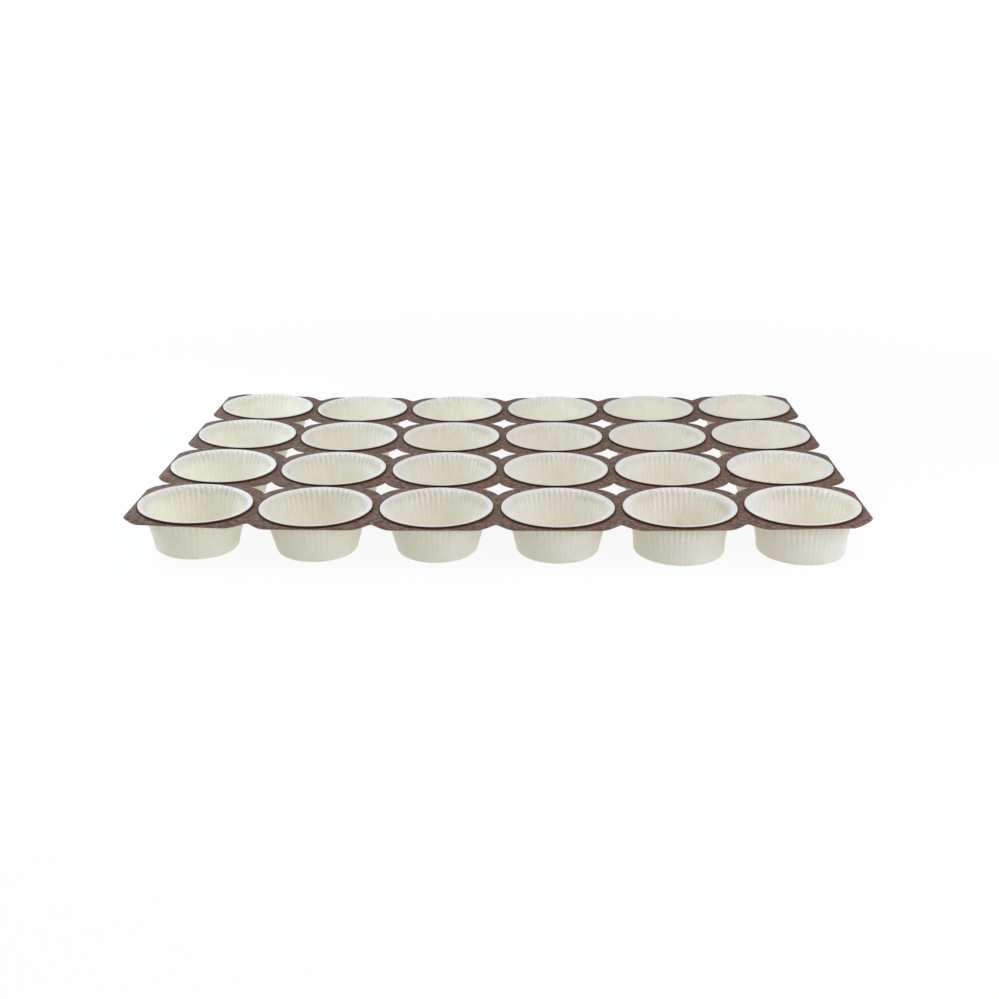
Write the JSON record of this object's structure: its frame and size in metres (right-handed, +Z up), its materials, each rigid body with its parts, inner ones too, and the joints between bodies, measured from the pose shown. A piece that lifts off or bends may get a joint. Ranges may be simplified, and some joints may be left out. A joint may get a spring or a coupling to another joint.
{
  "type": "paper muffin tray",
  "caption": "Flat tray of pleated paper baking cups, each hung by its rolled rim in a round hole of a brown die-cut card board with star-shaped cut-outs between the cups.",
  "frame": {"origin": "under the middle of the tray, on the surface that the cup bases stand on", "axes": "+X along the long side, to the right in the picture, +Y away from the viewer, +Z up out of the cups"},
  "size_m": [0.5697, 0.3776, 0.0414],
  "materials": {
    "brown_card": "dull mottled brown card with clean die-cut edges",
    "cup_paper": "thin off-white greaseproof paper, pleated, with a rolled rim"
  },
  "bodies": {
    "root": {"tray_board": "brown_card", "cup_row1_col1": "cup_paper", "cup_row1_col2": "cup_paper", "cup_row1_col3": "cup_paper", "cup_row1_col4": "cup_paper", "cup_row1_col5": "cup_paper", "cup_row1_col6": "cup_paper", "cup_row2_col1": "cup_paper", "cup_row2_col2": "cup_paper", "cup_row2_col3": "cup_paper", "cup_row2_col4": "cup_paper", "cup_row2_col5": "cup_paper", "cup_row2_col6": "cup_paper", "cup_row3_col1": "cup_paper", "cup_row3_col2": "cup_paper", "cup_row3_col3": "cup_paper", "cup_row3_col4": "cup_paper", "cup_row3_col5": "cup_paper", "cup_row3_col6": "cup_paper", "cup_row4_col1": "cup_paper", "cup_row4_col2": "cup_paper", "cup_row4_col3": "cup_paper", "cup_row4_col4": "cup_paper", "cup_row4_col5": "cup_paper", "cup_row4_col6": "cup_paper"}
  },
  "joints": []
}
